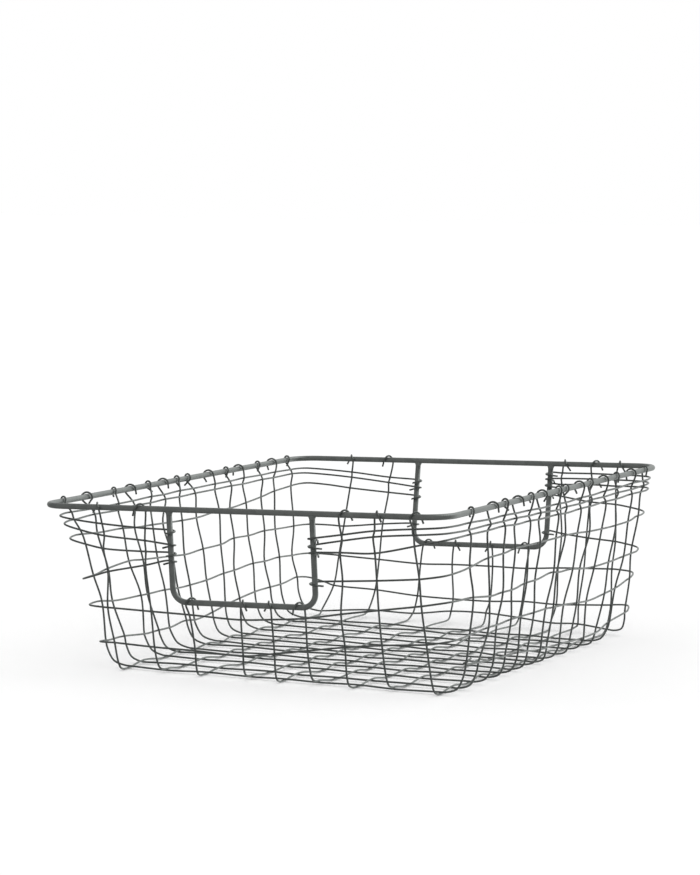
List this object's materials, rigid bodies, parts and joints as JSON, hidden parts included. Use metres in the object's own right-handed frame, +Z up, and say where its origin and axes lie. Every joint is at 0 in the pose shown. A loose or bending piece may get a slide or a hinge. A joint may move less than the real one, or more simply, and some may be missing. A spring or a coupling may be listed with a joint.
{
  "type": "wire mesh basket",
  "caption": "Open rectangular basket: a steel rod rim with rounded corners, a fixed drop handle at each end and a hand-woven mesh of thin galvanised wire hooked over the rods.",
  "frame": {"origin": "on the ground, under the middle of the rim", "axes": "+X to the right across the width, +Y along the length from the near end to the far end, +Z up"},
  "size_m": [0.3076, 0.4074, 0.1286],
  "materials": {
    "rod": "dull galvanised",
    "wire": "dull galvanised"
  },
  "bodies": {
    "root": {"rim": "rod", "front_handle": "rod", "back_handle": "rod", "long_wire_1": "wire", "long_wire_2": "wire", "long_wire_3": "wire", "long_wire_4": "wire", "long_wire_5": "wire", "long_wire_6": "wire", "long_wire_7": "wire", "long_wire_8": "wire", "long_wire_9": "wire", "cross_wire_1": "wire", "cross_wire_2": "wire", "cross_wire_3": "wire", "cross_wire_4": "wire", "cross_wire_5": "wire", "cross_wire_6": "wire", "cross_wire_7": "wire", "cross_wire_8": "wire", "cross_wire_9": "wire", "cross_wire_10": "wire", "cross_wire_11": "wire", "cross_wire_12": "wire", "cross_wire_13": "wire", "cross_wire_14": "wire", "left_row_1": "wire", "left_row_2": "wire", "left_row_3": "wire", "left_row_4": "wire", "right_row_1": "wire", "right_row_2": "wire", "right_row_3": "wire", "right_row_4": "wire", "spiral_wire": "wire"}
  },
  "joints": []
}
